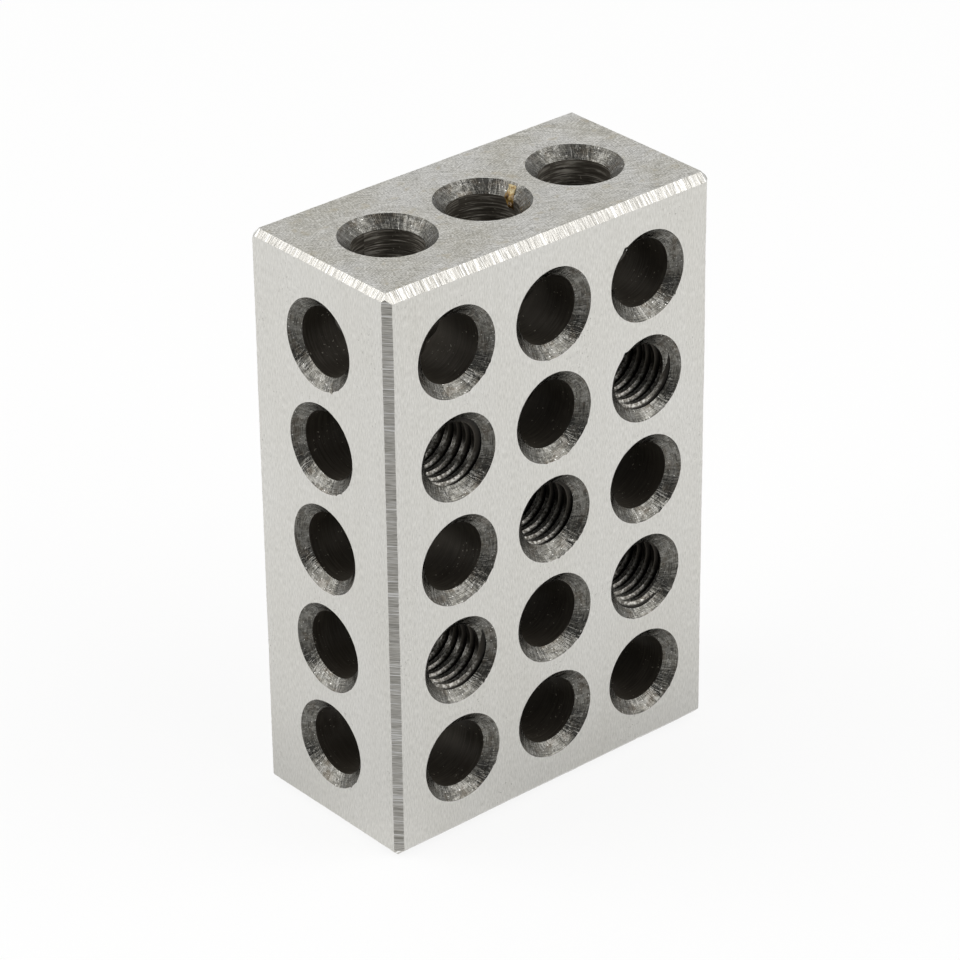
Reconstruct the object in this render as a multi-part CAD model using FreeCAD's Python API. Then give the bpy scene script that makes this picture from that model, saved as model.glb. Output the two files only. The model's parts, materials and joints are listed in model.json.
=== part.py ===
# A machinist's setup block of the 1-2-3 pattern: one hardened and ground steel block
# with a network of countersunk holes that run right through it along all three axes.
#
# Frame, in millimetres: the block stands on one of its two small ends, with +Z up.
# X runs across the broad faces and Y through them. The origin is the middle of the foot.

import FreeCAD, Part
import math
import os

# The ground block
thickness = 25.4
width = 50.8
height = 76.2

# Bevels ground along the edges, as the length each takes off both of its faces
upright_bevel = 0.9
broad_face_end_bevel = 1.05
narrow_face_end_bevel = 0.75

# The hole pattern of each face, centred on that face
broad_columns = 3
broad_rows = 5
broad_column_pitch = 15.0
broad_row_pitch = 13.85
narrow_rows = 5
narrow_row_pitch = 13.7
end_columns = 3
end_column_pitch = 14.6

# Clearance holes, and holes drilled for a 3/8 inch, 16 turns an inch thread
clearance_bore = 8.8
tapping_bore = 8.0

# Countersinks, as the diameter of each rim on the face and the angle of the cone
countersink_angle = 100.0
broad_face_rim = 11.8
tapped_rim = 11.4
narrow_face_rim = 11.6
end_face_rim = 12.0

# How far each cutting shape runs on past the faces that it opens
overrun = 1.0

X = FreeCAD.Vector(1, 0, 0)
Y = FreeCAD.Vector(0, 1, 0)
Z = FreeCAD.Vector(0, 0, 1)


def bevelled_bar(across, up, length, size_across, size_up, bevel):
    # A bar along a third axis, with its four long edges bevelled, centred on the origin
    a = size_across / 2
    b = size_up / 2
    outline = [
        (a, b - bevel),
        (a - bevel, b),
        (bevel - a, b),
        (-a, b - bevel),
        (-a, bevel - b),
        (bevel - a, -b),
        (a - bevel, -b),
        (a, bevel - b),
    ]
    along = across.cross(up)
    corners = [across * p + up * q - along * (length / 2) for p, q in outline]
    section = Part.Face(Part.makePolygon(corners + corners[:1]))
    return section.extrude(along * length)


def bevelled_block():
    # What is common to three bars, one along each axis, has every edge bevelled
    uprights = bevelled_bar(X, Y, height, width, thickness, upright_bevel)
    broad_ends = bevelled_bar(Y, Z, width, thickness, height, broad_face_end_bevel)
    narrow_ends = bevelled_bar(Z, X, thickness, height, width, narrow_face_end_bevel)
    block = uprights.common(broad_ends).common(narrow_ends)
    return block.translated(Z * (height / 2))


def countersunk_hole(centre, axis, length, bore, rim):
    # The space of one through hole, turned as one profile: a bore with a cone at both faces
    slope = math.tan(math.radians(countersink_angle / 2))
    sink = (rim - bore) / 2 / slope
    mouth = rim / 2 + overrun * slope
    face = length / 2
    profile = [
        (0, -face - overrun),
        (mouth, -face - overrun),
        (bore / 2, sink - face),
        (bore / 2, face - sink),
        (mouth, face + overrun),
        (0, face + overrun),
    ]
    corners = [FreeCAD.Vector(radius, 0, along) for radius, along in profile]
    section = Part.Face(Part.makePolygon(corners + corners[:1]))
    hole = section.revolve(FreeCAD.Vector(), Z, 360)
    hole.Placement = FreeCAD.Placement(centre, FreeCAD.Rotation(Z, axis))
    return hole


def from_middle(count):
    # The steps of each place in a line of holes, counted from the middle of the line
    return [i - (count - 1) / 2 for i in range(count)]


def broad_face_holes():
    # The middle hole and the four diagonally next to it are the tapped ones
    holes = []
    for column in from_middle(broad_columns):
        for row in from_middle(broad_rows):
            tapped = abs(column) == abs(row)
            bore = tapping_bore if tapped else clearance_bore
            rim = tapped_rim if tapped else broad_face_rim
            x = column * broad_column_pitch
            z = height / 2 + row * broad_row_pitch
            holes.append(countersunk_hole(FreeCAD.Vector(x, 0, z), Y, thickness, bore, rim))
    return holes


def narrow_face_holes():
    holes = []
    for row in from_middle(narrow_rows):
        centre = FreeCAD.Vector(0, 0, height / 2 + row * narrow_row_pitch)
        holes.append(countersunk_hole(centre, X, width, clearance_bore, narrow_face_rim))
    return holes


def end_face_holes():
    holes = []
    for column in from_middle(end_columns):
        centre = FreeCAD.Vector(column * end_column_pitch, 0, height / 2)
        holes.append(countersunk_hole(centre, Z, height, clearance_bore, end_face_rim))
    return holes


def setup_block():
    block = bevelled_block()
    for hole in broad_face_holes() + narrow_face_holes() + end_face_holes():
        block = block.cut(hole)
    return block.Solids[0]


os.makedirs("parts", exist_ok=True)
setup_block().exportStep("parts/setup_block.step")
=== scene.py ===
import json
import math
import random

import bpy
from mathutils import Matrix, Vector, noise


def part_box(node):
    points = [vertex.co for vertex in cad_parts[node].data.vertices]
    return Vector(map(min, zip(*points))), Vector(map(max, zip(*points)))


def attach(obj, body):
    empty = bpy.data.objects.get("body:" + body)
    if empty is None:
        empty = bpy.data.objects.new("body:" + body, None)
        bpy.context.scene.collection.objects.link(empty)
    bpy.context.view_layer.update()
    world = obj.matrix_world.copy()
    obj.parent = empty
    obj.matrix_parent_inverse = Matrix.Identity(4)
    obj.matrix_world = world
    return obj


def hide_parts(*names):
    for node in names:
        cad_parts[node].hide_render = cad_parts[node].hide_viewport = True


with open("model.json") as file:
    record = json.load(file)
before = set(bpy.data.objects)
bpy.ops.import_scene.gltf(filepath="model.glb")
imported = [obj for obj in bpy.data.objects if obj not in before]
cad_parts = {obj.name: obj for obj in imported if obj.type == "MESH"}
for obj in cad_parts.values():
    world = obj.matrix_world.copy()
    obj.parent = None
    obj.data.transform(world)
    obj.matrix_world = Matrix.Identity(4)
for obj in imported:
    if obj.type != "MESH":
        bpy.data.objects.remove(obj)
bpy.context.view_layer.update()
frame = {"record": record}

mm = 0.001
mounts = {m["name"]: m for m in frame["record"]["mounts"]}
low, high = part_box("setup_block")
thickness = (high.y - low.y) / mm
width = (high.x - low.x) / mm
height = (high.z - low.z) / mm
middle = Vector((0, 0, height / 2))

# slots of the block's mesh, in the order that every cutter shares
slots = {"ground": 0, "lapped": 1, "bevel": 2, "countersink": 3, "bore": 4, "thread": 5, "endBore": 6}


def lineNoise(place, seed, rate=1.0):
    # smooth noise along a line, about -1 to 1; each seed has a line of its own
    return noise.noise(Vector((place * rate, seed * 7.31, seed * 3.17)))


def makeMesh(name, points, faces, slotOfFace, uvOfFace):
    # points in mm; the pattern UVs are in mm too: u along the tool's travel, v across it
    mesh = bpy.data.meshes.new(name)
    mesh.from_pydata([tuple(p * mm for p in point) for point in points], [], faces)
    mesh.polygons.foreach_set("material_index", slotOfFace)
    layer = mesh.uv_layers.new(name="pattern")
    layer.data.foreach_set("uv", [value for face in uvOfFace for uv in face for value in uv])
    mesh.update()
    for steel in steels:
        mesh.materials.append(steel)
    piece = bpy.data.objects.new(name, mesh)
    bpy.context.collection.objects.link(piece)
    return piece


def faceOutwards(piece):
    # turns a closed mesh so that its faces look out of it
    mesh = piece.data
    mesh.calc_loop_triangles()
    spots = [v.co for v in mesh.vertices]
    corners = [t.vertices for t in mesh.loop_triangles]
    volume = sum(spots[a].dot(spots[b].cross(spots[c])) for a, b, c in corners)
    if volume < 0:
        mesh.flip_normals()


def cut(body, cutter):
    # takes the cutter's shape out of the body, and the cutter away
    knife = body.modifiers.new("cut", "BOOLEAN")
    knife.solver = "MANIFOLD"
    knife.material_mode = "INDEX"
    knife.operation = "DIFFERENCE"
    knife.object = cutter
    graph = bpy.context.evaluated_depsgraph_get()
    result = bpy.data.meshes.new_from_object(body.evaluated_get(graph))
    body.modifiers.clear()
    old = body.data
    body.data = result
    bpy.data.meshes.remove(old)
    waste = cutter.data
    bpy.data.objects.remove(cutter)
    bpy.data.meshes.remove(waste)


# ---- the ground block and its bevels

blank = {
    "upright": 0.9,            # mm, legs of the bevels
    "broadEnd": 1.05,
    "narrowEnd": 0.75,
    "lineStep": 0.17,          # mm between the grinding lines across a bevel
    "lineDepth": 0.016,        # mm, how deep single lines bite
    "biteRate": 1.3,           # per mm, how fast a line's bite changes
    "waveDepth": 0.045,        # mm, how far a bevel's border wanders by hand
    "waveRate": 0.11,          # per mm, the wander's long waves and its short ones
    "shortWaveRate": 0.6,
    "shortWaveShare": 0.35,
    "tiltRate": 0.08,          # per mm, how fast the belt's tilt changes
    "tiltShare": 0.8,
    "cornerBreak": 1.9,        # mm along each edge, for the corners that the belt took off
    "cornerSpread": 0.15,      # mm more or less from corner to corner
    "sharpCorner": (-1, -1, 1),   # the one left whole: left, front, top
    "overrun": 0.8,            # mm that a cutter reaches out past the block
    "bevelPatch": 37.0,        # mm of pattern between one bevel and the next
}


def plainBlock():
    x, y, z = width / 2, thickness / 2, height
    points = [(sx * x, sy * y, sz * z) for sx in (-1, 1) for sy in (-1, 1) for sz in (0, 1)]
    # corners, steel, the axes that the grain runs along and across, and the face's own patch of the pattern
    sides = [
        ((0, 1, 3, 2), "ground", 2, 1, (0, 0)),
        ((4, 6, 7, 5), "ground", 2, 1, (0, 40)),
        ((0, 4, 5, 1), "ground", 2, 0, (150, 120)),
        ((2, 3, 7, 6), "ground", 2, 0, (150, 180)),
        ((0, 2, 6, 4), "lapped", 0, 1, (0, 240)),
        ((1, 5, 7, 3), "lapped", 0, 1, (0, 300)),
    ]
    faces, slotOfFace, uvOfFace = [], [], []
    for face, steel, along, across, patch in sides:
        faces.append(face)
        slotOfFace.append(slots[steel])
        uvOfFace.append([(points[c][along] + patch[0], points[c][across] + patch[1]) for c in face])
    return makeMesh("setup_block_steel", points, faces, slotOfFace, uvOfFace)


def bevelCutter(start, along, length, inA, inB, leg, seed):
    # a long wedge over one edge; its working face has the lines that a belt leaves across a bevel
    # inA and inB point from the edge into its two faces
    rng = random.Random(seed)
    outward = -(inA + inB).normalized()
    steps = int(length / blank["lineStep"])
    across = (-0.3, 0.0, 0.35, 0.7, 1.0, 1.3)   # places across the bevel, 0 and 1 being its borders
    acrossStep = 0.35
    points, faces, uvOfFace = [], [], []
    bites = [rng.gauss(0, 1) * blank["lineDepth"] for i in range(steps + 1)]
    for i in range(steps + 1):
        s = length * i / steps
        wander = lineNoise(s, seed, blank["waveRate"])
        wander += lineNoise(s, seed + 9, blank["shortWaveRate"]) * blank["shortWaveShare"]
        belt = lineNoise(s, seed + 5, blank["tiltRate"]) * blank["tiltShare"]
        for t in across:
            bite = bites[i] * (0.6 + 0.4 * lineNoise(s + 3 * t, seed + 2, blank["biteRate"]))
            lift = (wander + (t - 0.5) * belt) * blank["waveDepth"] + bite
            spot = start + along * s + inA * leg * (1 - t) + inB * leg * t
            points.append(spot + outward * lift)
        points.append(start + along * s + outward * blank["overrun"] * 2)
    row = len(across) + 1
    patch = blank["bevelPatch"] * seed
    for i in range(steps):
        v0, v1 = patch + length * i / steps, patch + length * (i + 1) / steps
        for j in range(row):
            k = (j + 1) % row
            faces.append((i * row + j, i * row + k, (i + 1) * row + k, (i + 1) * row + j))
            u0, u1 = j * leg * acrossStep, (j + 1) * leg * acrossStep
            uvOfFace.append([(u0, v0), (u1, v0), (u1, v1), (u0, v1)])
    faces.append(tuple(range(row - 1, -1, -1)))
    faces.append(tuple(steps * row + j for j in range(row)))
    uvOfFace += [[(0, 0)] * row] * 2
    cutter = makeMesh("bevel_cutter", points, faces, [slots["bevel"]] * len(faces), uvOfFace)
    faceOutwards(cutter)
    return cutter


def cornerCutter(corner, inwards, reach):
    # a blunt pyramid over one corner, whose base lies across its three edges at the given reach
    diagonal = inwards[0] + inwards[1] + inwards[2]
    centre = corner + diagonal * (reach / 3)
    points = [centre + (corner + way * reach - centre) * 2 for way in inwards]
    points.append(corner - diagonal * blank["overrun"])
    faces = [(0, 2, 1), (0, 1, 3), (1, 2, 3), (2, 0, 3)]
    uvOfFace = [[(reach, 0), (0, reach), (reach, reach)]] * len(faces)
    cutter = makeMesh("corner_cutter", points, faces, [slots["bevel"]] * len(faces), uvOfFace)
    faceOutwards(cutter)
    return cutter


def bevelEdges(body):
    past = 1.0   # mm that each wedge runs on past its edge's ends
    seed = 1
    for sx in (-1, 1):
        for sy in (-1, 1):
            start = Vector((sx * width / 2, sy * thickness / 2, -past))
            cut(body, bevelCutter(start, Vector((0, 0, 1)), height + 2 * past,
                                  Vector((-sx, 0, 0)), Vector((0, -sy, 0)), blank["upright"], seed))
            seed += 1
    for sz in (0, 1):
        down = Vector((0, 0, 1 - 2 * sz))
        for sy in (-1, 1):
            start = Vector((-width / 2 - past, sy * thickness / 2, sz * height))
            cut(body, bevelCutter(start, Vector((1, 0, 0)), width + 2 * past,
                                  down, Vector((0, -sy, 0)), blank["broadEnd"], seed))
            seed += 1
        for sx in (-1, 1):
            start = Vector((sx * width / 2, -thickness / 2 - past, sz * height))
            cut(body, bevelCutter(start, Vector((0, 1, 0)), thickness + 2 * past,
                                  down, Vector((-sx, 0, 0)), blank["narrowEnd"], seed))
            seed += 1


def breakCorners(body):
    # every corner but one, each by a little more or less
    rng = random.Random(41)
    for sx in (-1, 1):
        for sy in (-1, 1):
            for sz in (0, 1):
                reach = blank["cornerBreak"] + rng.uniform(-blank["cornerSpread"], blank["cornerSpread"])
                if (sx, sy, sz) == blank["sharpCorner"]:
                    continue
                inwards = [Vector((-sx, 0, 0)), Vector((0, -sy, 0)), Vector((0, 0, 1 - 2 * sz))]
                corner = Vector((sx * width / 2, sy * thickness / 2, sz * height))
                cut(body, cornerCutter(corner, inwards, reach))


# ---- the holes

holes = {
    "around": 96,              # sides of each round
    "countersinkAngle": 100.0,
    "broadRim": 11.8,          # mm, the countersinks' widths at the faces
    "tappedRim": 11.4,
    "narrowRim": 11.6,
    "endRim": 12.0,
    "overrun": 0.5,            # mm that a cutter reaches out past the faces
    "wallBand": 4.0,           # mm, about how long a bore's bands of faces are
    "chatter": 0.052,          # mm, waves that the countersink left as it chattered
    "chatterRate": 7.0,        # of these waves round the hole
    "rimWander": 0.07,         # mm, how far a rim is out of round
    "lip": 0.4,                # mm down the countersink, as far as the rim's own wear reaches
    "nick": 0.7,               # mm, torn places on the rims, on the side that the grinding wheel left by
    "nickRate": 13.0,
    "nickLevel": 0.18,         # noise above this tears the rim
    "nickElsewhere": 0.04,     # share of it on the rest of the rim
    "tornSide": Vector((0.45, -0.45, -0.80)),
    "dent": 0.32,              # mm, a knock on the upper left of the front's two highest rims on the right
    "dentWidth": 0.05,         # of the rim's radius
    "dentSide": Vector((-0.62, 0, 0.78)),
    "threadMajor": 9.36,       # 3/8 inch, less the scale in the roots
    "threadPitch": 1.5875,     # 16 turns an inch
    "threadAngle": 60.0,
    "threadShort": 0.35,       # mm left off at each face where the turns are counted
    "threadRough": 0.012,      # mm, slow and quick roughness of its turns
    "threadTorn": 0.010,
    "threadSides": 64,
    "tapClearance": 0.02,      # mm that a tapped hole's plain cutter stays inside the thread's crests
    "sharpAngle": 24.0,        # degrees, from which an edge of the block is drawn sharp
}


def patternSpots(mount):
    # the places of a pattern's holes, in mm, in the plane through its middle
    axis = Vector(mount["axis"])
    allAxes = (Vector((1, 0, 0)), Vector((0, 1, 0)), Vector((0, 0, 1)))
    first, second = [other for other in allAxes if abs(other.dot(axis)) < 0.5]
    centre = Vector(mount["pos_m"]) / mm
    halfA = (mount["dims"].get("spacing_x_mm") or 0) / 2
    halfB = (mount["dims"].get("spacing_y_mm") or 0) / 2
    spots = {tuple(centre + first * a + second * b) for a in (-halfA, halfA) for b in (-halfB, halfB)}
    return sorted(spots)


def holeList():
    # every through hole, as the record's mounts state it
    rims = {"broad": holes["broadRim"], "narrow": holes["narrowRim"], "end": holes["endRim"]}
    lengths = {"broad": thickness, "narrow": width, "end": height}
    found = []
    for name, mount in mounts.items():
        if mount["kind"] == "flat_face":
            continue
        axis = Vector(mount["axis"])
        radius = mount["dims"].get("hole_r_mm") or mount["dims"].get("r_mm")
        spots = [tuple(Vector(mount["pos_m"]) / mm)]
        if mount["kind"] == "bolt_pattern":
            spots = patternSpots(mount)
        family = name.split("_")[0]
        tapped = "tapped" in name
        for spot in spots:
            offset = Vector(spot) - middle
            centre = middle + offset - axis * offset.dot(axis)
            found.append({
                "centre": centre,
                "axis": axis,
                "radius": radius,
                "length": lengths[family],
                "tapped": tapped,
                "rim": (holes["tappedRim"] if tapped else rims[family]) / 2,
                "knocked": family == "broad" and centre.x > width * 0.2 and centre.z > height * 0.6,
            })
    found.sort(key=lambda hole: (tuple(hole["axis"]), hole["centre"].z, hole["centre"].x))
    for number, hole in enumerate(found):
        hole["seed"] = number + 1
    return found


def axesOf(hole):
    # two axes across the hole and its own
    w = hole["axis"]
    u = Vector((0, 0, 1)) if abs(w.z) < 0.5 else Vector((0, 1, 0))
    return u, w.cross(u), w


def rimWear(hole, outwards, side, atFront):
    # mm by which a rim is torn open at one place; outwards points from the hole's axis to it
    tornShare = max(0.0, outwards.dot(holes["tornSide"])) ** 3 + holes["nickElsewhere"]
    tear = noise.noise(outwards * holes["nickRate"] + Vector((0, side * 5.1, side))) - holes["nickLevel"]
    worn = max(0.0, tear) * tornShare * holes["nick"]
    if hole["knocked"] and atFront:
        away = (outwards - holes["dentSide"]).length / holes["dentWidth"]
        worn += holes["dent"] * math.exp(-away ** 2)
    return worn


def coneStations(hole, boreRadius, way):
    # one countersink from rim to bore: (radius, place along the axis, share of the waves, v in mm)
    slope = math.tan(math.radians(holes["countersinkAngle"] / 2))
    depth = (hole["rim"] - boreRadius) / slope
    slant = math.hypot(depth, hole["rim"] - boreRadius)
    over = holes["overrun"]
    found = [(hole["rim"] + over * slope, way * (hole["length"] / 2 + over), 1.0, -over)]
    for share in (0.16, 0.34, 0.52, 0.7, 0.86, 1.0):
        r = hole["rim"] + (boreRadius - hole["rim"]) * share
        waves = 1.0 if share < 1 else 0.25
        found.append((r, way * (hole["length"] / 2 - depth * share), waves, slant * share))
    return found


def roundCutter(hole, boreRadius, boreSlot):
    # one turned shape right through the block, with a countersink at both faces
    u, v, w = axesOf(hole)
    sides = holes["around"]
    nearCone = coneStations(hole, boreRadius, -1)
    farCone = coneStations(hole, boreRadius, 1)
    wall, slant = farCone[-1][1], farCone[-1][3]
    bands = max(2, round(2 * wall / holes["wallBand"]))
    stations = nearCone
    for band in range(1, bands):
        s = -wall + 2 * wall * band / bands
        stations.append((boreRadius, s, 0.0, slant + wall - abs(s)))
    stations += reversed(farCone)
    coneBands = len(farCone) - 1
    points, faces, slotOfFace, uvOfFace = [], [], [], []
    seed = hole["seed"]
    for r, s, waves, vPlace in stations:
        side = seed + (40 if s > 0 else 0)
        atRim = vPlace < holes["lip"]
        for i in range(sides):
            turn = 2 * math.pi * i / sides
            spot = Vector((math.cos(turn), math.sin(turn), 0.0))
            wander = noise.noise(spot * 0.9 + Vector((0, 0, side * 1.7))) * holes["rimWander"]
            waveSpot = spot * holes["chatterRate"] + Vector((0, 0, side * 2.3 + vPlace * 0.6))
            ripple = noise.noise(waveSpot) * holes["chatter"]
            lift = (wander + ripple * (0.4 if atRim else 1.0)) * waves
            outwards = u * math.cos(turn) + v * math.sin(turn)
            if atRim:
                # torn places open the rim only, and not the countersink below it
                lift += rimWear(hole, outwards, side, w.y * s < 0)
            points.append(hole["centre"] + outwards * (r + lift) + w * s)
    for number in range(len(stations) - 1):
        inCone = number < coneBands or number >= len(stations) - 1 - coneBands
        slot = slots["countersink"] if inCone else boreSlot
        v0, v1 = stations[number][3], stations[number + 1][3]
        patch = 31.0 * seed + (400 if stations[number][1] > 0 else 0)
        a, b = number * sides, (number + 1) * sides
        for i in range(sides):
            k = (i + 1) % sides
            faces.append((a + i, a + k, b + k, b + i))
            slotOfFace.append(slot)
            u0 = patch + hole["radius"] * 2 * math.pi * i / sides
            u1 = patch + hole["radius"] * 2 * math.pi * (i + 1) / sides
            uvOfFace.append([(u0, v0), (u1, v0), (u1, v1), (u0, v1)])
    last = (len(stations) - 1) * sides
    faces.append(tuple(range(sides - 1, -1, -1)))
    faces.append(tuple(last + i for i in range(sides)))
    slotOfFace += [boreSlot] * 2
    uvOfFace += [[(0, 0)] * sides] * 2
    cutter = makeMesh("hole_cutter", points, faces, slotOfFace, uvOfFace)
    faceOutwards(cutter)
    return cutter


def tapCutter(hole):
    # the tap's own path: one right-hand helical ridge, which leaves the thread in the wall
    u, v, w = axesOf(hole)
    pitch = holes["threadPitch"]
    crest, root = hole["radius"], holes["threadMajor"] / 2
    flank = (root - crest) * math.tan(math.radians(holes["threadAngle"] / 2))
    rootFlat = pitch / 8
    crestFlat = pitch - rootFlat - 2 * flank
    # across one turn: (place along the axis, radius), from the middle of a crest to the next
    profile = [
        (0.0, crest),
        (crestFlat / 2, crest),
        (crestFlat / 2 + flank, root),
        (crestFlat / 2 + flank + rootFlat, root),
        (pitch - crestFlat / 2, crest),
    ]
    rows = len(profile)
    sides = holes["threadSides"]
    half = hole["length"] / 2 - holes["threadShort"]
    turns = math.ceil(2 * half / pitch)
    begin = -(turns + 1) * pitch / 2
    columns = turns * sides
    seed = hole["seed"]
    phase = 2 * math.pi * ((seed * 0.37) % 1.0)   # each thread starts elsewhere
    points, faces, uvOfFace = [], [], []

    def onHelix(i, s, radius):
        turn = 2 * math.pi * i / sides + phase
        outwards = u * math.cos(turn) + v * math.sin(turn)
        return hole["centre"] + outwards * radius + w * (begin + pitch * i / sides + s)

    for i in range(columns + 1):
        turn = 2 * math.pi * i / sides
        for j, (s, r) in enumerate(profile):
            rough = lineNoise(turn * 3 + j * 5, seed) * holes["threadRough"]
            torn = lineNoise(turn * 9 + j * 3, seed + 3) * holes["threadTorn"]
            points.append(onHelix(i, s, r + rough + torn))
    # the last turn has no next turn to end on, so it gets a border of its own
    border = len(points)
    points += [onHelix(columns + i, 0.0, crest) for i in range(1, sides + 1)]

    def nextTurn(i):
        # the point of column i on the first row one turn further on
        past = i + sides - columns
        return (i + sides) * rows if past <= 0 else border + past - 1

    patch = 500.0 + 61 * seed
    for i in range(columns):
        u0, u1 = patch + crest * 2 * math.pi * i / sides, patch + crest * 2 * math.pi * (i + 1) / sides
        for j in range(rows):
            a, b = i * rows + j, (i + 1) * rows + j
            if j + 1 < rows:
                faces.append((a, b, b + 1, a + 1))
                s1 = profile[j + 1][0]
            else:
                faces.append((a, b, nextTurn(i + 1), nextTurn(i)))
                s1 = pitch
            s0 = profile[j][0]
            uvOfFace.append([(u0, s0), (u1, s0), (u1, s1), (u0, s1)])
    # both ends lie past the faces and are closed with a fan from the axis
    for column, s in ((0, begin), (columns, begin + pitch * (turns + 1))):
        hub = len(points)
        points.append(hole["centre"] + w * s)
        ring = [nextTurn(column - sides + i) for i in range(sides + 1)]
        ring += [column * rows + j for j in range(rows - 1, 0, -1)]
        for a, b in zip(ring, ring[1:] + ring[:1]):
            faces.append((a, b, hub) if column else (b, a, hub))
            uvOfFace.append([(0, 0)] * 3)
    cutter = makeMesh("tap_cutter", points, faces, [slots["thread"]] * len(faces), uvOfFace)
    faceOutwards(cutter)
    return cutter


# ---- materials

def hexColour(text):
    # an sRGB colour as written, in the linear values that the shaders take
    channels = [int(text[i:i + 2], 16) / 255 for i in (0, 2, 4)]
    return [c / 12.92 if c < 0.04045 else ((c + 0.055) / 1.055) ** 2.4 for c in channels] + [1.0]


def addNode(material, kind, inputs=None, **settings):
    made = material.node_tree.nodes.new("ShaderNode" + kind)
    for name, value in settings.items():
        setattr(made, name, value)
    for key, value in (inputs or {}).items():
        if isinstance(value, bpy.types.NodeSocket):
            material.node_tree.links.new(value, made.inputs[key])
        else:
            made.inputs[key].default_value = value
    return made


def startMaterial(name, roughness=0.5, metallic=1.0):
    material = bpy.data.materials.new(name)
    material.use_nodes = True
    shader = material.node_tree.nodes["Principled BSDF"]
    shader.inputs["Metallic"].default_value = metallic
    shader.inputs["Roughness"].default_value = roughness
    return material, shader


def patternPlace(material):
    return addNode(material, "UVMap", uv_map="pattern").outputs["UV"]


def streaks(material, place, length, spacing, turn=0.0, shift=0.0, detail=2.0):
    # marks `length` mm long and `spacing` mm apart, as grit leaves them, running at `turn` degrees to u
    turned = addNode(material, "Mapping", {"Vector": place, "Rotation": (0, 0, math.radians(-turn))})
    drawn = addNode(material, "Mapping", {"Vector": turned.outputs["Vector"],
                                          "Location": (shift, shift * 1.7, 0),
                                          "Scale": (1 / length, 1 / spacing, 1)})
    grit = addNode(material, "TexNoise", {"Vector": drawn.outputs["Vector"], "Scale": 1.0,
                                          "Detail": detail, "Roughness": 0.6}, noise_dimensions="2D")
    return grit.outputs["Fac"]


def ramp(material, value, *stops):
    # each stop is a place and a colour, or a place and a plain grey level
    made = addNode(material, "ValToRGB", {"Fac": value})
    band = made.color_ramp
    while len(band.elements) < len(stops):
        band.elements.new(0.5)
    for element, (place, colour) in zip(band.elements, stops):
        element.position = place
        element.color = (colour, colour, colour, 1) if isinstance(colour, float) else colour
    return made.outputs["Color"]


def mixColour(material, share, first, second, how="MIX"):
    made = addNode(material, "Mix", {0: share, 6: first, 7: second}, data_type="RGBA", blend_type=how)
    return made.outputs[2]


def maths(material, how, first, second=0.0, third=0.0):
    return addNode(material, "Math", {0: first, 1: second, 2: third}, operation=how).outputs["Value"]


def bump(material, shader, heightValue, depth, strength=1.0):
    # depth in mm
    made = addNode(material, "Bump", {"Height": heightValue, "Distance": depth * mm, "Strength": strength})
    material.node_tree.links.new(made.outputs["Normal"], shader.inputs["Normal"])


def surfaceGroundSteel():
    # the wheel's straight grain runs up the block: a bright even grey with fine upright lines and a few pits
    # the real lines are nearer 0.03 mm apart, and are drawn coarser so that they show
    material, shader = startMaterial("surface_ground_steel")
    place = patternPlace(material)
    fine = streaks(material, place, length=0.8, spacing=0.14, detail=3.0)
    broad = streaks(material, place, length=30.0, spacing=0.9, shift=7.0)
    cloud = streaks(material, place, length=26.0, spacing=14.0, shift=3.0)
    tone = ramp(material, fine, (0.3, hexColour("CFCECA")), (0.7, hexColour("E6E5E2")))
    bands = mixColour(material, broad, hexColour("F9F9F8"), hexColour("FFFFFF"))
    tone = mixColour(material, 1.0, tone, bands, "MULTIPLY")
    handled = mixColour(material, cloud, hexColour("F6F5F2"), hexColour("FFFFFF"))
    tone = mixColour(material, 1.0, tone, handled, "MULTIPLY")
    # pits stand in clusters
    clusters = streaks(material, place, length=9.0, spacing=7.0, shift=21.0, detail=1.0)
    pits = streaks(material, place, length=0.45, spacing=0.35, shift=13.0, detail=2.0)
    inCluster = ramp(material, clusters, (0.56, 0.0), (0.68, 1.0))
    inPit = ramp(material, pits, (0.24, 0.5), (0.34, 0.0))
    tone = mixColour(material, maths(material, "MULTIPLY", inCluster, inPit), tone, hexColour("77736A"))
    material.node_tree.links.new(tone, shader.inputs["Base Color"])
    rough = ramp(material, cloud, (0.3, 0.33), (0.7, 0.40))
    material.node_tree.links.new(rough, shader.inputs["Roughness"])
    bump(material, shader, fine, 0.004, 0.7)
    return material


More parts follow.
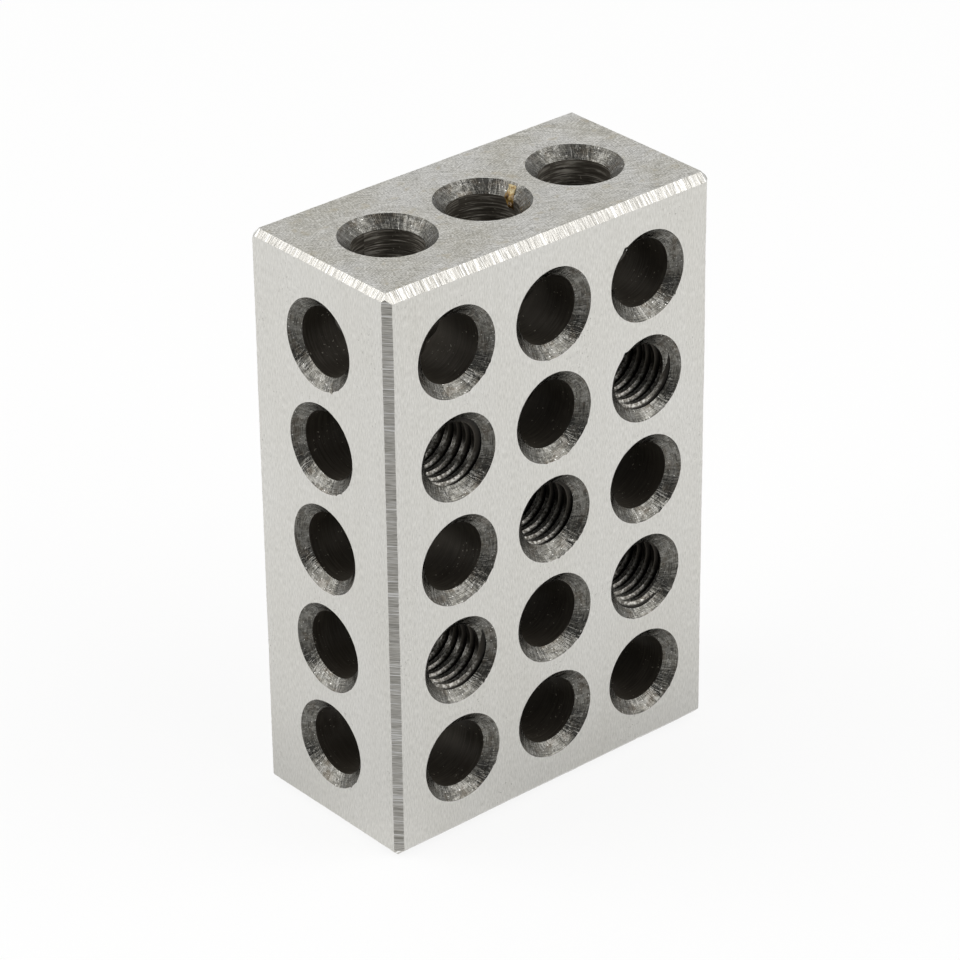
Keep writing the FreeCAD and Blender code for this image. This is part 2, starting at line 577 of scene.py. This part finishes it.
def lappedSteel():
    # ends rubbed on a plate: fine grain, hair scratches that mostly run one way, and a slightly warmer grey
    # the real scratches are about 0.02 mm wide, and are drawn coarser so that they show
    material, shader = startMaterial("lapped_steel", 0.40)
    place = patternPlace(material)
    # the hand's path bends by up to 6 mm, over about 20 mm
    bend = (6.0, 6.0, 0.0)
    wavy = addNode(material, "TexNoise", {"Vector": place, "Scale": 1 / 20, "Detail": 1.0},
                   noise_dimensions="2D")
    bent = addNode(material, "VectorMath", {0: wavy.outputs["Color"], 1: bend}, operation="MULTIPLY")
    moved = addNode(material, "VectorMath", {0: place, 1: bent.outputs["Vector"]}, operation="ADD")
    curved = moved.outputs["Vector"]
    cloud = streaks(material, place, length=9.0, spacing=8.0, turn=30, detail=3.0)
    tone = ramp(material, cloud, (0.35, hexColour("C9C6BB")), (0.65, hexColour("DEDDD9")))
    grain = streaks(material, place, length=0.26, spacing=0.15, turn=-40, shift=3.0, detail=3.0)
    tone = mixColour(material, ramp(material, grain, (0.35, 0.55), (0.55, 0.0)), tone, hexColour("86847B"))
    tone = mixColour(material, ramp(material, grain, (0.52, 0.0), (0.66, 0.5)), tone, hexColour("FFFEFA"))
    heights = grain
    # scratches run four ways: (turn, length, share)
    scratchSets = [(-44, 4.5, 0.5), (-24, 3.0, 0.35), (14, 3.0, 0.35), (76, 2.2, 0.3)]
    for number, (turn, length, share) in enumerate(scratchSets):
        scratch = streaks(material, curved, length, 0.13, turn, shift=number * 11.0, detail=1.0)
        light = ramp(material, scratch, (0.64, 0.0), (0.72, share))
        dark = ramp(material, scratch, (0.28, share), (0.36, 0.0))
        tone = mixColour(material, light, tone, hexColour("FFFEFA"))
        tone = mixColour(material, dark, tone, hexColour("68655B"))
        heights = maths(material, "ADD", heights, scratch)
    blots = streaks(material, place, length=2.4, spacing=1.8, turn=10, shift=4.0, detail=3.0)
    stain = ramp(material, blots, (0.60, 0.0), (0.74, 0.35))
    tone = mixColour(material, stain, tone, hexColour("B9AD8E"))
    material.node_tree.links.new(tone, shader.inputs["Base Color"])
    bump(material, shader, heights, 0.008, 0.6)
    return material


def beltedBevelSteel():
    # edges broken on a belt: bright, with fine lines and a few deeper ones straight across the bevel
    material, shader = startMaterial("belt_ground_bevel_steel", 0.32)
    place = patternPlace(material)
    line = streaks(material, place, length=1.8, spacing=0.11, turn=3.0)
    deep = streaks(material, place, length=8.0, spacing=0.30, turn=3.0, shift=5.0, detail=3.0)
    bright = streaks(material, place, length=8.0, spacing=0.24, turn=3.0, shift=9.0, detail=1.0)
    tone = ramp(material, line, (0.3, hexColour("A09D95")), (0.6, hexColour("D0CEC9")))
    tone = mixColour(material, ramp(material, deep, (0.30, 0.55), (0.41, 0.0)), tone, hexColour("7C7A73"))
    tone = mixColour(material, ramp(material, bright, (0.64, 0.0), (0.72, 0.7)), tone, hexColour("FFFFFF"))
    material.node_tree.links.new(tone, shader.inputs["Base Color"])
    bump(material, shader, maths(material, "MULTIPLY_ADD", deep, 2.0, line), 0.045, 0.8)
    return material


def hardenedCountersinkSteel():
    # turned by a countersink that chattered, then browned in the furnace: glossy dark grey in uneven facets,
    # with fine rings, brown stains and a few bright torn flecks
    material, shader = startMaterial("hardened_countersink_steel")
    place = patternPlace(material)
    ring = streaks(material, place, length=1.6, spacing=0.11)
    flute = streaks(material, place, length=0.34, spacing=2.2, turn=12, shift=7.0)
    facet = streaks(material, place, length=1.0, spacing=0.9, turn=25, shift=11.0)
    torn = streaks(material, place, length=0.26, spacing=0.18, shift=4.0, detail=3.0)
    stain = streaks(material, place, length=2.2, spacing=1.6, shift=6.0, detail=3.0)
    fleck = streaks(material, place, length=0.3, spacing=0.22, shift=15.0, detail=1.0)
    tone = ramp(material, ring, (0.34, hexColour("4C4B48")), (0.66, hexColour("828079")))
    tone = mixColour(material, ramp(material, torn, (0.46, 0.0), (0.60, 0.4)), tone, hexColour("3F3C36"))
    tone = mixColour(material, ramp(material, stain, (0.52, 0.0), (0.64, 0.4)), tone, hexColour("51473B"))
    tone = mixColour(material, ramp(material, facet, (0.51, 0.0), (0.55, 0.2)), tone, hexColour("A8A7A3"))
    tone = mixColour(material, ramp(material, flute, (0.57, 0.0), (0.66, 0.15)), tone, hexColour("B9B8B4"))
    tone = mixColour(material, ramp(material, fleck, (0.74, 0.0), (0.79, 0.8)), tone, hexColour("E2E1DD"))
    material.node_tree.links.new(tone, shader.inputs["Base Color"])
    rough = ramp(material, facet, (0.44, 0.34), (0.56, 0.17))
    material.node_tree.links.new(rough, shader.inputs["Roughness"])
    steps = ramp(material, flute, (0.47, 0.0), (0.55, 0.22))
    cuts = maths(material, "ADD", maths(material, "MULTIPLY_ADD", flute, 0.6, facet), steps)
    grit = maths(material, "MULTIPLY_ADD", ring, 0.6, torn)
    bump(material, shader, maths(material, "MULTIPLY_ADD", grit, 0.18, cuts), 0.065, 0.9)
    return material


def scaledBoreSteel(name, furrow, crest, ringDepth):
    # drilled and left as the furnace scaled it: the drill's rings in brown at the mouth, dull and dark
    # inside; the dark tone is partly scale and partly painted shade of the bore's depth
    material, shader = startMaterial(name, 0.55, 0.5)
    place = patternPlace(material)
    depth = addNode(material, "SeparateXYZ", {"Vector": place}).outputs["Y"]
    ring = streaks(material, place, length=4.0, spacing=0.22, turn=1.5, detail=3.0)
    cloud = streaks(material, place, length=5.0, spacing=5.0, shift=4.0, detail=3.0)
    patches = streaks(material, place, length=3.0, spacing=3.0, shift=17.0, detail=1.0)
    grains = streaks(material, place, length=0.4, spacing=0.4, shift=9.0, detail=1.0)
    mouth = ramp(material, ring, (0.34, hexColour("38332B")), (0.54, hexColour(furrow)),
                 (0.66, hexColour(crest)))
    deep = ramp(material, ring, (0.3, hexColour("4A453D")), (0.7, hexColour("58534A")))
    # painted shade: from 5 to 8.5 mm in, the mouth's tone gives way to the deep one, which darkens the end
    # bores deeper inside
    within = ramp(material, maths(material, "DIVIDE", depth, 10.0), (0.50, 0.0), (0.85, 1.0))
    tone = mixColour(material, within, mouth, deep)
    tone = mixColour(material, ramp(material, cloud, (0.4, 0.0), (0.65, 0.5)), tone, hexColour("403A31"))
    # pale specks, in some places only
    rare = ramp(material, patches, (0.50, 0.0), (0.60, 1.0))
    speck = ramp(material, grains, (0.72, 0.0), (0.78, 1.0))
    tone = mixColour(material, maths(material, "MULTIPLY", rare, speck), tone, hexColour("A8A396"))
    material.node_tree.links.new(tone, shader.inputs["Base Color"])
    bump(material, shader, ring, ringDepth, 0.6)
    return material


def tappedSteel():
    # roots black with scale, crests rubbed by screws; the rubbed tone shows only on the wall that faces up, a
    # painted light where light falls into the hole
    material, shader = startMaterial("tapped_thread_steel", 0.36, 0.8)
    place = patternPlace(material)
    across = addNode(material, "SeparateXYZ", {"Vector": place}).outputs["Y"]
    fromRoot = maths(material, "ABSOLUTE", maths(material, "SUBTRACT", across, holes["threadPitch"] / 2))
    torn = streaks(material, place, length=0.35, spacing=0.20, shift=2.0, detail=3.0)
    upwards = addNode(material, "SeparateXYZ", {"Vector": addNode(material, "TexCoord").outputs["Normal"]})
    # painted light: the wall whose normal points up, where light falls in the hole, gets the pale crest tone
    paintedLightUpwards = ramp(material, upwards.outputs["Z"], (0.10, 0.0), (0.40, 1.0))
    scale = ramp(material, fromRoot, (0.14, hexColour("1C1A17")), (0.44, hexColour("332F29")),
                 (0.50, hexColour("57534C")), (0.60, hexColour("3E3A34")))
    rubbed = ramp(material, torn, (0.34, hexColour("4F4B45")), (0.50, hexColour("807D76")),
                  (0.64, hexColour("BBB9B3")))
    clean = ramp(material, fromRoot, (0.22, 0.0), (0.34, 1.0))
    # rubbed crests, painted pale on the upward-facing wall only as painted light
    tone = mixColour(material, maths(material, "MULTIPLY", clean, paintedLightUpwards), scale, rubbed)
    material.node_tree.links.new(tone, shader.inputs["Base Color"])
    bump(material, shader, torn, 0.035, 0.8)
    return material


def driedOil():
    # slushing oil that ran out of a bore and dried: cloudy cream at its start, amber and brown lower down
    material, shader = startMaterial("dried_slushing_oil", 0.25, 0.0)
    place = addNode(material, "TexCoord").outputs["Object"]
    # clouds about 0.7 mm across, in an object whose coordinates are metres
    cloud = addNode(material, "TexNoise", {"Vector": place, "Scale": 1500.0, "Detail": 3.0}).outputs["Fac"]
    level = addNode(material, "SeparateXYZ", {"Vector": place}).outputs["Z"]
    lowest = high.z - oilRun["brownBelow"] * mm
    under = addNode(material, "MapRange", {"Value": level, "From Min": high.z, "From Max": lowest})
    lightened = maths(material, "ADD", cloud, 0.12)
    amber = maths(material, "MULTIPLY_ADD", under.outputs["Result"], -0.35, lightened)
    tone = ramp(material, amber, (0.20, hexColour("4E3716")), (0.36, hexColour("8A6A34")),
                (0.50, hexColour("B39150")), (0.64, hexColour("DDCB9C")))
    material.node_tree.links.new(tone, shader.inputs["Base Color"])
    shader.inputs["Transmission Weight"].default_value = 0.2
    bump(material, shader, cloud, 0.10, 0.8)
    return material


# ---- the dried oil

oilRun = {
    "rimAngle": 11.0,      # degrees round the middle bore of the upper end, from +X, where the run starts
    "boreAngle": -3.0,     # and where it ends
    "inset": 0.25,         # mm from the rim to its start
    "drop": 1.3,           # mm that it hangs down the bore
    "width": 1.7,
    "thickness": 0.55,
    "sunk": 0.05,          # mm that its edges lie in the steel
    "brownBelow": 2.4,     # mm below the upper end, where its colour is darkest
    "onCone": (0.64, 0.77),   # how far inwards and upwards it stands off the countersink, and off the bore
    "onBore": (0.94, 0.27),
    "rows": 40,
    "columns": 22,
}


def oilBlob():
    # a lumpy run of dried oil that lies on the countersink and hangs into the bore
    slope = math.tan(math.radians(holes["countersinkAngle"] / 2))
    rim, bore = holes["endRim"] / 2, mounts["end_centre_bore"]["dims"]["r_mm"]
    start = rim - oilRun["inset"]
    rows, columns = oilRun["rows"], oilRun["columns"]
    points, faces = [], []
    for skin in (1, 0):
        for i in range(rows + 1):
            t = i / rows
            run = t * (start - bore + oilRun["drop"])
            radius = max(bore, start - run)
            down = (rim - radius) / slope + max(0.0, run - (start - bore))
            inwards, upwards = oilRun["onCone"] if radius > bore else oilRun["onBore"]
            heading = math.radians(oilRun["rimAngle"] + (oilRun["boreAngle"] - oilRun["rimAngle"]) * t)
            for j in range(columns + 1):
                s = 2 * j / columns - 1
                edge = max(0.0, 1 - s * s) * min(1.0, 7 * t, 5 * (1 - t))
                lump = 0.75 + 0.9 * noise.noise(Vector((t * 4.5, s * 1.8, 3.3)))
                lift = skin * oilRun["thickness"] * edge ** 0.6 * lump - oilRun["sunk"]
                spread = 0.8 + 0.5 * noise.noise(Vector((t * 3.0, 9.1, s)))
                turn = heading + s * spread * oilRun["width"] / 2 / radius
                reach = radius - lift * inwards
                level = height - down + lift * upwards
                points.append(Vector((reach * math.cos(turn), reach * math.sin(turn), level)))
    row = columns + 1
    under = (rows + 1) * row
    for i in range(rows):
        for j in range(columns):
            a = i * row + j
            faces.append((a, a + 1, a + row + 1, a + row))
            faces.append((under + a, under + a + row, under + a + row + 1, under + a + 1))
    border = list(range(columns)) + [i * row + columns for i in range(rows)]
    border += [rows * row + j for j in range(columns, 0, -1)] + [i * row for i in range(rows, 0, -1)]
    for a, b in zip(border, border[1:] + border[:1]):
        faces.append((b, a, a + under, b + under))
    mesh = bpy.data.meshes.new("dried_oil_run")
    mesh.from_pydata([tuple(p * mm for p in point) for point in points], [], faces)
    mesh.polygons.foreach_set("use_smooth", [True] * len(faces))
    mesh.materials.append(driedOil())
    blob = bpy.data.objects.new("dried_oil_run", mesh)
    bpy.context.collection.objects.link(blob)
    faceOutwards(blob)
    return blob


# ---- the studio

studio = {
    "lens": 161.4,
    "sensor": 36,
    "azimuth": 40.465,        # degrees left of straight on
    "elevation": 28.879,
    "roll": -0.679,
    "distance": 0.52775,      # m
    "aim": Vector((-0.48, 0.49, 38.21)) * mm,
    "roomLit": (0.40, 0.74),      # (how far round to the camera's side, level of the light)
    "roomDark": (0.70, 0.12),
    "boxDistance": 1.3,       # m
    "boxGlow": 1.9,           # radiance of the softboxes, white paper in full light being 1
    "boxes": [                # name, direction from the block, side in m
        ("right_softbox", Vector((0.38, -0.69, 0.62)), 1.35),
        ("left_softbox", Vector((-0.76, 0.38, 0.56)), 1.5),
    ],
    "floorHalf": 3.0,         # m
    "floorDrop": 0.02 * mm,   # keeps the paper off the block's own lower face
    "paper": "F4F4F3",
    "whiteSeen": 0.85,        # share of plain white that the camera sees, the rest being the lit paper
    "whiteMirrored": 0.5,     # the same share in the steel's reflections
    "darkAzimuth": 55.0,      # the middle of the floor's shaded side
    "contactReach": 60 * mm,
    "cornerReach": 25 * mm,
}


def directionFrom(azimuth, elevation):
    a, e = math.radians(azimuth), math.radians(elevation)
    return Vector((-math.sin(a) * math.cos(e), -math.cos(a) * math.cos(e), math.sin(e)))


def addCamera():
    lens = bpy.data.cameras.new("camera")
    lens.lens = studio["lens"]
    lens.sensor_width = studio["sensor"]
    lens.clip_start = 0.01
    camera = bpy.data.objects.new("camera", lens)
    back = directionFrom(studio["azimuth"], studio["elevation"])
    camera.rotation_mode = "QUATERNION"
    camera.location = studio["aim"] + back * studio["distance"]
    level = (-back).to_track_quat("-Z", "Y").to_matrix()
    rolled = level @ Matrix.Rotation(math.radians(studio["roll"]), 3, "Z")
    camera.rotation_quaternion = rolled.to_quaternion()
    bpy.context.collection.objects.link(camera)
    bpy.context.scene.camera = camera


def addSoftbox(name, direction, side):
    lamp = bpy.data.lights.new(name, "AREA")
    lamp.shape = "SQUARE"
    lamp.size = side
    lamp.energy = studio["boxGlow"] * math.pi * side ** 2
    box = bpy.data.objects.new(name, lamp)
    box.location = direction.normalized() * studio["boxDistance"]
    box.rotation_mode = "QUATERNION"
    box.rotation_quaternion = (-direction).to_track_quat("-Z", "Y")
    bpy.context.collection.objects.link(box)


def addRoom():
    # an even pale studio, darker on the side that the camera stands on
    world = bpy.data.worlds.new("studio")
    bpy.context.scene.world = world
    world.use_nodes = True
    back = world.node_tree.nodes["Background"]
    look = addNode(world, "TexCoord").outputs["Generated"]
    toCamera = directionFrom(studio["azimuth"], 0)
    facing = addNode(world, "VectorMath", {0: look, 1: toCamera}, operation="DOT_PRODUCT").outputs["Value"]
    tone = ramp(world, maths(world, "MULTIPLY_ADD", facing, 0.5, 0.5), studio["roomLit"], studio["roomDark"])
    rays = addNode(world, "LightPath")
    final = mixColour(world, rays.outputs["Is Camera Ray"], tone, (1, 1, 1, 1))
    world.node_tree.links.new(final, back.inputs["Color"])


def floorShade(material):
    # what polished steel sees of the paper, 1 being white: (colour, share under the block)
    # the paper is white at the sides, and in shade where the room's dark side lies before it
    place = addNode(material, "TexCoord").outputs["Object"]
    corner = (low.x, low.y, 0)
    offset = addNode(material, "VectorMath", {0: place, 1: corner}, operation="SUBTRACT")
    fromCorner = offset.outputs["Vector"]
    outwards = addNode(material, "VectorMath", {0: fromCorner}, operation="NORMALIZE").outputs["Vector"]
    toDark = directionFrom(studio["darkAzimuth"], 0)
    facing = addNode(material, "VectorMath", {0: outwards, 1: toDark}, operation="DOT_PRODUCT")
    shade = ramp(material, maths(material, "MULTIPLY_ADD", facing.outputs["Value"], 0.5, 0.5),
                 (0.45, 1.0), (0.56, 0.93), (0.70, 0.90), (0.90, 0.62))
    # it is dimmer close to the block, but not at the corner that faces the camera
    spot = addNode(material, "SeparateXYZ", {"Vector": place})
    outX = maths(material, "SUBTRACT", maths(material, "ABSOLUTE", spot.outputs["X"]), high.x)
    outY = maths(material, "SUBTRACT", maths(material, "ABSOLUTE", spot.outputs["Y"]), high.y)
    gap = maths(material, "MAXIMUM", outX, outY)
    dim = ramp(material, maths(material, "DIVIDE", gap, studio["contactReach"]),
               (0.0, 0.80), (0.25, 0.95), (0.60, 1.0))
    along = addNode(material, "VectorMath", {0: fromCorner}, operation="LENGTH").outputs["Value"]
    away = ramp(material, maths(material, "DIVIDE", along, studio["cornerReach"]), (0.25, 0.0), (1.0, 1.0))
    shade = mixColour(material, away, shade, mixColour(material, 1.0, shade, dim, "MULTIPLY"))
    # under the block's overhanging edges the paper is as white as the room: painted light, a full white glow
    # where the block's shadow lies, seen in the steel's reflections
    under = maths(material, "LESS_THAN", gap, 0.0)
    return mixColour(material, under, shade, (1, 1, 1, 1)), under


def whitePaperSweep():
    # matt paper that keeps the block's shadow and shows white to the camera and in the steel
    material, shader = startMaterial("white_paper_sweep", 0.9, 0.0)
    shade, under = floorShade(material)
    rays = addNode(material, "LightPath")
    # painted light: under the block the steel's reflections see the full white glow
    mirrored = maths(material, "MULTIPLY_ADD", under, 1 - studio["whiteMirrored"], studio["whiteMirrored"])
    glossy = maths(material, "MULTIPLY", rays.outputs["Is Glossy Ray"], mirrored)
    direct = maths(material, "MULTIPLY", rays.outputs["Is Camera Ray"], studio["whiteSeen"])
    tone = mixColour(material, rays.outputs["Is Glossy Ray"], (1, 1, 1, 1), shade)
    paper = mixColour(material, 1.0, tone, hexColour(studio["paper"]), "MULTIPLY")
    material.node_tree.links.new(paper, shader.inputs["Base Color"])
    glow = addNode(material, "Emission", {"Color": tone, "Strength": 1.0})
    both = addNode(material, "MixShader", {0: maths(material, "MAXIMUM", direct, glossy),
                                           1: shader.outputs["BSDF"], 2: glow.outputs["Emission"]})
    out = material.node_tree.nodes["Material Output"]
    material.node_tree.links.new(both.outputs["Shader"], out.inputs["Surface"])
    return material


def addFloor():
    mesh = bpy.data.meshes.new("floor")
    half = studio["floorHalf"]
    corners = [(-half, -half, 0), (half, -half, 0), (half, half, 0), (-half, half, 0)]
    mesh.from_pydata(corners, [], [(0, 1, 2, 3)])
    floor = bpy.data.objects.new("floor", mesh)
    floor.location.z = -studio["floorDrop"]
    bpy.context.collection.objects.link(floor)
    mesh.materials.append(whitePaperSweep())


print("steels")
steels = [
    surfaceGroundSteel(),
    lappedSteel(),
    beltedBevelSteel(),
    hardenedCountersinkSteel(),
    # lit and shaded copies of one bore steel: the side bores' copy is dark all through, partly scale and
    # partly painted shade; the end bores' copy has pale rings at the mouth, a painted light where light falls
    # in from above
    scaledBoreSteel("scaled_bore_steel_painted_shaded_copy", furrow="47423A", crest="514C43", ringDepth=0.006),
    tappedSteel(),
    scaledBoreSteel("ringed_end_bore_steel_painted_lit_copy", furrow="5F5A51", crest="ACA79D", ringDepth=0.04),
]

print("block")
body = plainBlock()
bevelEdges(body)
breakCorners(body)

print("holes", len(body.data.polygons))
for hole in holeList():
    if hole["tapped"]:
        cut(body, tapCutter(hole))
        cut(body, roundCutter(hole, hole["radius"] - holes["tapClearance"], slots["thread"]))
    else:
        cut(body, roundCutter(hole, hole["radius"], slots["endBore" if hole["axis"].z else "bore"]))
body.data.polygons.foreach_set("use_smooth", [True] * len(body.data.polygons))
body.data.set_sharp_from_angle(angle=math.radians(holes["sharpAngle"]))
print("triangles", sum(len(p.vertices) - 2 for p in body.data.polygons))
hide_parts("setup_block")
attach(body, "root")

print("oil")
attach(oilBlob(), "root")

print("studio")
addCamera()
addRoom()
addFloor()
for name, direction, side in studio["boxes"]:
    addSoftbox(name, direction, side)
bpy.context.scene.view_settings.view_transform = "Standard"
